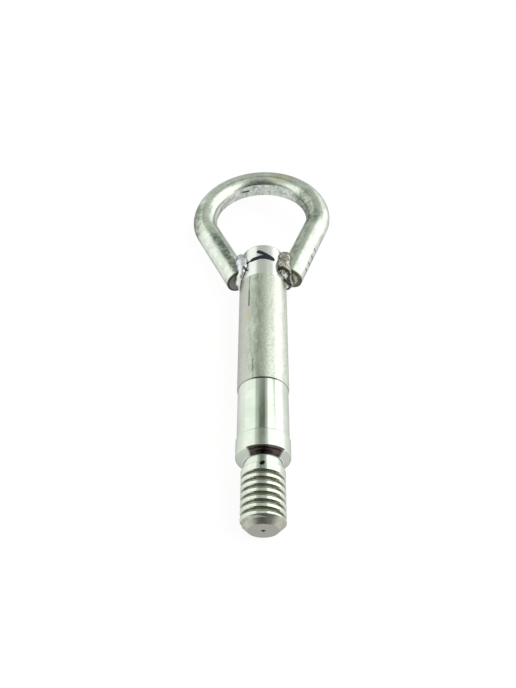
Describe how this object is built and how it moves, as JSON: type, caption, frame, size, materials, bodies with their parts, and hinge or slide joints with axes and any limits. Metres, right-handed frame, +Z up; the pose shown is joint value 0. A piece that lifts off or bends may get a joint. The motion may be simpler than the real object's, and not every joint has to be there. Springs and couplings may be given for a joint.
{
  "type": "tow eye",
  "caption": "Screw-in vehicle tow eye: a turned steel shank with a coarse left-hand thread and conical seat, and a bent round-bar loop welded to its neck.",
  "frame": {"origin": "on the shank's axis, in the plane of the threaded end's flat face", "axes": "+Y along the shank from the threaded end towards the eye, +Z up as the part lies, the shank on the floor and the eye's left side just above it"},
  "size_m": [0.0622, 0.1852, 0.0202],
  "materials": {
    "shank_steel": "turned, thin zinc plating, lightly scratched",
    "loop_steel": "drawn bar, thin zinc plating, slightly pitted",
    "weld_steel": "rippled weld metal under thin zinc plating"
  },
  "bodies": {
    "root": {"threaded_shank": "shank_steel", "eye_loop": "loop_steel", "left_weld": "weld_steel", "right_weld": "weld_steel"}
  },
  "joints": []
}
